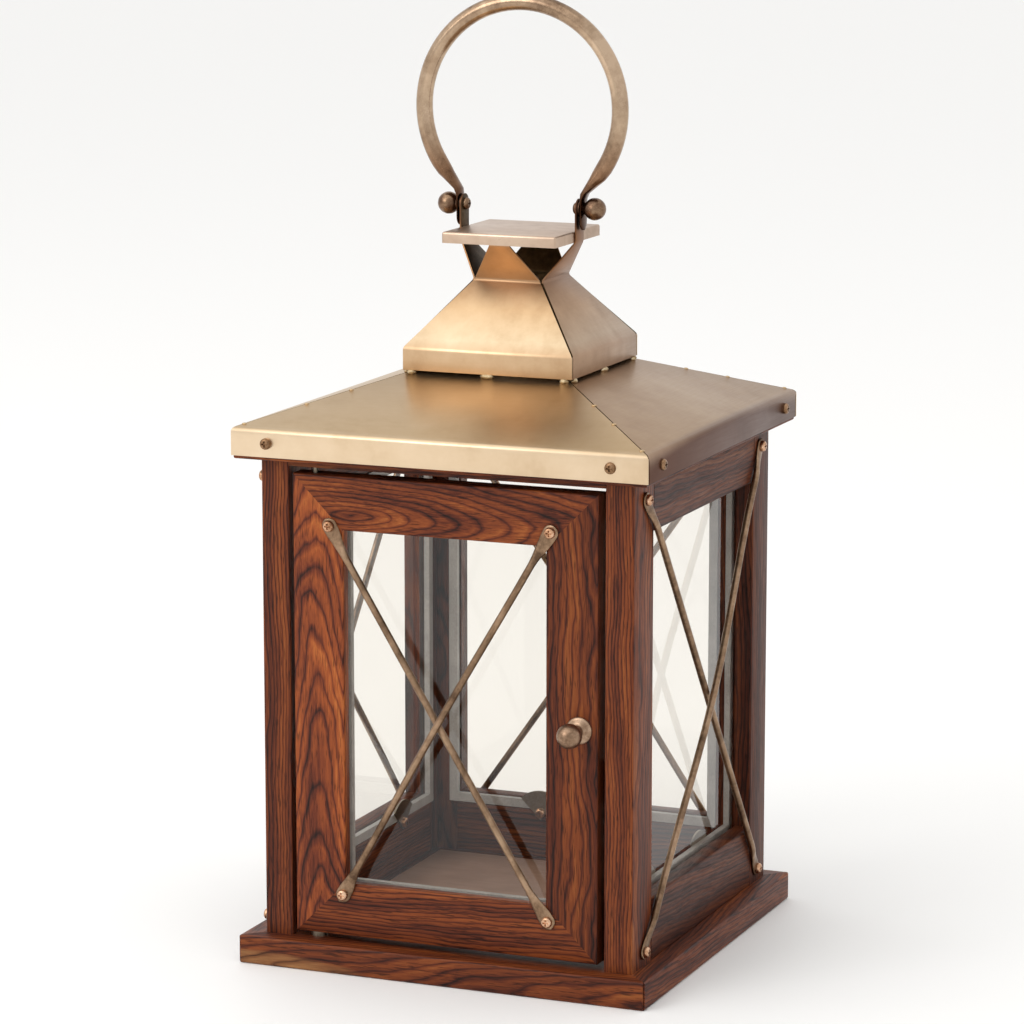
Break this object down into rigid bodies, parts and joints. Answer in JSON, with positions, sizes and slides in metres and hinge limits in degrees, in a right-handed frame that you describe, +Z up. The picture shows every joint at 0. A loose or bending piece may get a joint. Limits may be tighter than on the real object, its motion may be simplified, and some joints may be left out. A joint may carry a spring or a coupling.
{
  "type": "hanging lantern",
  "caption": "Square glazed wooden candle lantern with a hinged front door, crossed brass rods, a folded brass roof with a vented hood, and a swinging round bail.",
  "frame": {"origin": "middle of the underside of the base frame", "axes": "+X to the right along the door side, +Y to the back, +Z up; the door faces -Y"},
  "size_m": [0.2374, 0.244, 0.5123],
  "materials": {
    "rosewood": "oiled and waxed rosewood, satin",
    "glass": "clear float glass",
    "floor_board": "plain board, taupe stain",
    "glass_edging": "dull grey glazing strip",
    "roof_brass": "brushed and lacquered antique brass",
    "rod_brass": "dark antique brass",
    "screw_brass": "coppery brass plate",
    "aged_brass": "burnished dark brass",
    "magnet_case": "dark brown moulded",
    "zinc_steel": "zinc plated"
  },
  "bodies": {
    "lantern": {"back_bottom_rail": "rosewood", "back_glass": "glass", "back_left_stile": "rosewood", "back_right_stile": "rosewood", "back_rod_over": "rod_brass", "back_rod_under": "rod_brass", "back_top_rail": "rosewood", "ball_nuts": "aged_brass", "base_back": "rosewood", "base_front": "rosewood", "base_left": "rosewood", "base_right": "rosewood", "cap": "roof_brass", "catch_magnet": "magnet_case", "floor_panel": "floor_board", "frame_screws": "screw_brass", "glass_clips": "zinc_steel", "glass_edging": "glass_edging", "head_strip": "rosewood", "hinge_washer": "zinc_steel", "hood": "roof_brass", "left_bottom_rail": "rosewood", "left_front_stile": "rosewood", "left_glass": "glass", "left_rear_stile": "rosewood", "left_rod_over": "rod_brass", "left_rod_under": "rod_brass", "left_top_rail": "rosewood", "pivot_screws": "screw_brass", "pivot_washers": "aged_brass", "right_bottom_rail": "rosewood", "right_front_stile": "rosewood", "right_glass": "glass", "right_rear_stile": "rosewood", "right_rod_over": "rod_brass", "right_rod_under": "rod_brass", "right_top_rail": "rosewood", "roof_screws": "screw_brass", "roof_sheet": "roof_brass", "top_frame_back": "rosewood", "top_frame_front": "rosewood", "top_frame_left": "rosewood", "top_frame_right": "rosewood", "weld_beads": "roof_brass"},
    "door": {"door_bottom_rail": "rosewood", "door_edging": "glass_edging", "door_glass": "glass", "door_glass_clips": "zinc_steel", "door_knob": "aged_brass", "door_left_stile": "rosewood", "door_right_stile": "rosewood", "door_rod_over": "rod_brass", "door_rod_under": "rod_brass", "door_screws": "screw_brass", "door_strike": "zinc_steel", "door_top_rail": "rosewood", "hinge_pins": "zinc_steel", "knob_rosette": "aged_brass"},
    "bail": {"bail": "aged_brass"}
  },
  "joints": [
    {"name": "door_hinge", "type": "hinge", "parent": "lantern", "child": "door", "pos_m": [-0.0762, -0.09825, 0.1424], "axis": [0, 0, -1], "range_deg": [0, 100]},
    {"name": "bail_pivot", "type": "hinge", "parent": "lantern", "child": "bail", "pos_m": [0, 0, 0.39958], "axis": [1, 0, 0], "range_deg": [-125, 125]}
  ]
}
